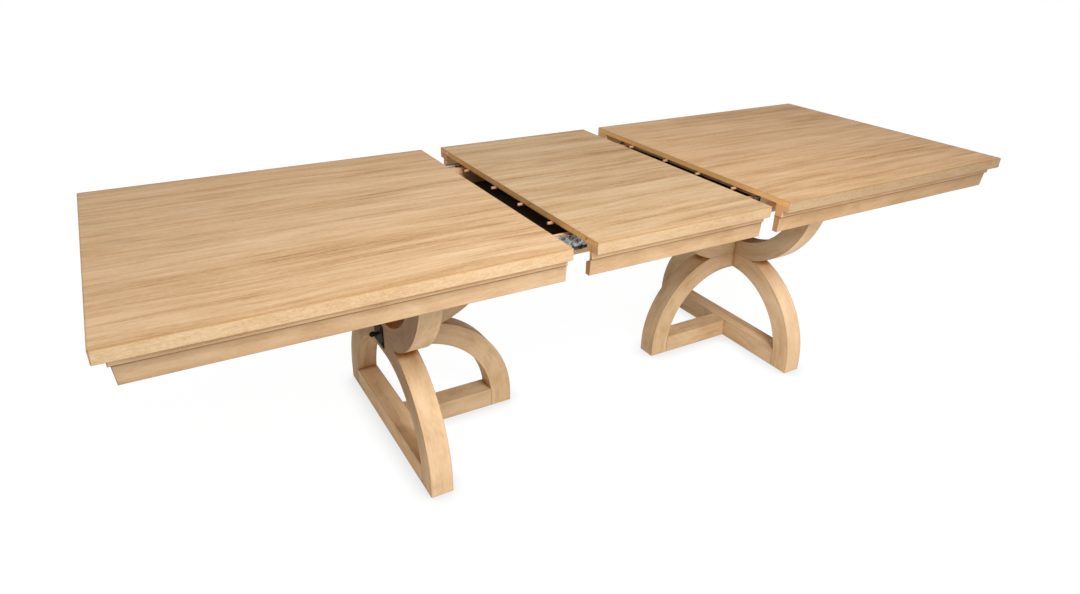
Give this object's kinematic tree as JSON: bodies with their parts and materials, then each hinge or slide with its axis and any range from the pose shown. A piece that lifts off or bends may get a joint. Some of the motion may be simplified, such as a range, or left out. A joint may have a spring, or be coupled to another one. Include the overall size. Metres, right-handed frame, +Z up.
{
  "type": "extending dining table",
  "caption": "Rectangular extending wood dining table on two arched pedestals, opened to show a lift-out leaf between its sliding half tops.",
  "frame": {"origin": "on the floor under the middle of the leaf", "axes": "+X along the table to its right end, +Y to the back long side, +Z up"},
  "size_m": [2.8908, 1.016, 0.762],
  "materials": {
    "top_wood": "satin",
    "pedestal_wood": "satin",
    "frame_wood": "matte",
    "dowel_wood": "matte",
    "black_board": "matte",
    "black_metal": "satin",
    "galvanised_steel": "satin",
    "fastener_steel": "satin",
    "glide_plastic": "matte"
  },
  "bodies": {
    "base": {"left_lower_arch": "pedestal_wood", "left_upper_cup": "pedestal_wood", "left_inner_half_arch": "pedestal_wood", "left_inner_half_cup": "pedestal_wood", "left_cross_stretcher": "pedestal_wood", "left_long_stretcher": "pedestal_wood", "right_lower_arch": "pedestal_wood", "right_upper_cup": "pedestal_wood", "right_inner_half_arch": "pedestal_wood", "right_inner_half_cup": "pedestal_wood", "right_cross_stretcher": "pedestal_wood", "right_long_stretcher": "pedestal_wood", "floor_glides": "glide_plastic", "pedestal_dowels": "dowel_wood", "hub_plates": "black_metal", "hub_bolts": "black_metal", "hub_plate_screws": "black_metal", "front_rail": "frame_wood", "back_rail": "frame_wood", "rail_crossbars": "frame_wood", "centre_board": "black_board", "rail_bolts": "fastener_steel", "left_fixed_slides": "galvanised_steel", "right_fixed_slides": "galvanised_steel", "fixed_slide_screws": "fastener_steel"},
    "left_middle": {"left_middle_slides": "galvanised_steel"},
    "right_middle": {"right_middle_slides": "galvanised_steel"},
    "left_top": {"left_top_panel": "top_wood", "left_front_edge_strip": "top_wood", "left_back_edge_strip": "top_wood", "left_end_edge_strip": "top_wood", "left_front_apron": "top_wood", "left_back_apron": "top_wood", "left_end_apron": "top_wood", "left_corner_blocks": "frame_wood", "left_runners": "frame_wood", "left_moving_slides": "galvanised_steel", "left_slide_screws": "fastener_steel", "left_top_battens": "frame_wood"},
    "right_top": {"right_top_panel": "top_wood", "right_front_edge_strip": "top_wood", "right_back_edge_strip": "top_wood", "right_end_edge_strip": "top_wood", "right_front_apron": "top_wood", "right_back_apron": "top_wood", "right_end_apron": "top_wood", "right_corner_blocks": "frame_wood", "right_runners": "frame_wood", "right_moving_slides": "galvanised_steel", "right_slide_screws": "fastener_steel", "right_top_battens": "frame_wood", "right_top_dowels": "dowel_wood"},
    "leaf": {"leaf_panel": "top_wood", "leaf_edge_strips": "top_wood", "leaf_front_apron": "top_wood", "leaf_back_apron": "top_wood", "leaf_battens": "frame_wood", "leaf_dowels": "dowel_wood", "leaf_edge_studs": "fastener_steel"}
  },
  "joints": [
    {"name": "left_top_slide", "type": "slide", "parent": "base", "child": "left_top", "axis": [1, 0, 0], "range_m": [0, 0.0733]},
    {"name": "right_top_slide", "type": "slide", "parent": "base", "child": "right_top", "axis": [-1, 0, 0], "range_m": [0, 0.0733]},
    {"name": "left_middle_slide", "type": "slide", "parent": "base", "child": "left_middle", "axis": [1, 0, 0], "range_m": [0, 0.0367]},
    {"name": "right_middle_slide", "type": "slide", "parent": "base", "child": "right_middle", "axis": [-1, 0, 0], "range_m": [0, 0.0367]},
    {"name": "leaf_lift", "type": "slide", "parent": "base", "child": "leaf", "axis": [0, 0, 1], "range_m": [0, 0.3]}
  ],
  "couplings": [
    {"joint": "left_middle_slide", "follows": "left_top_slide", "ratio": 0.5},
    {"joint": "right_middle_slide", "follows": "right_top_slide", "ratio": 0.5}
  ]
}
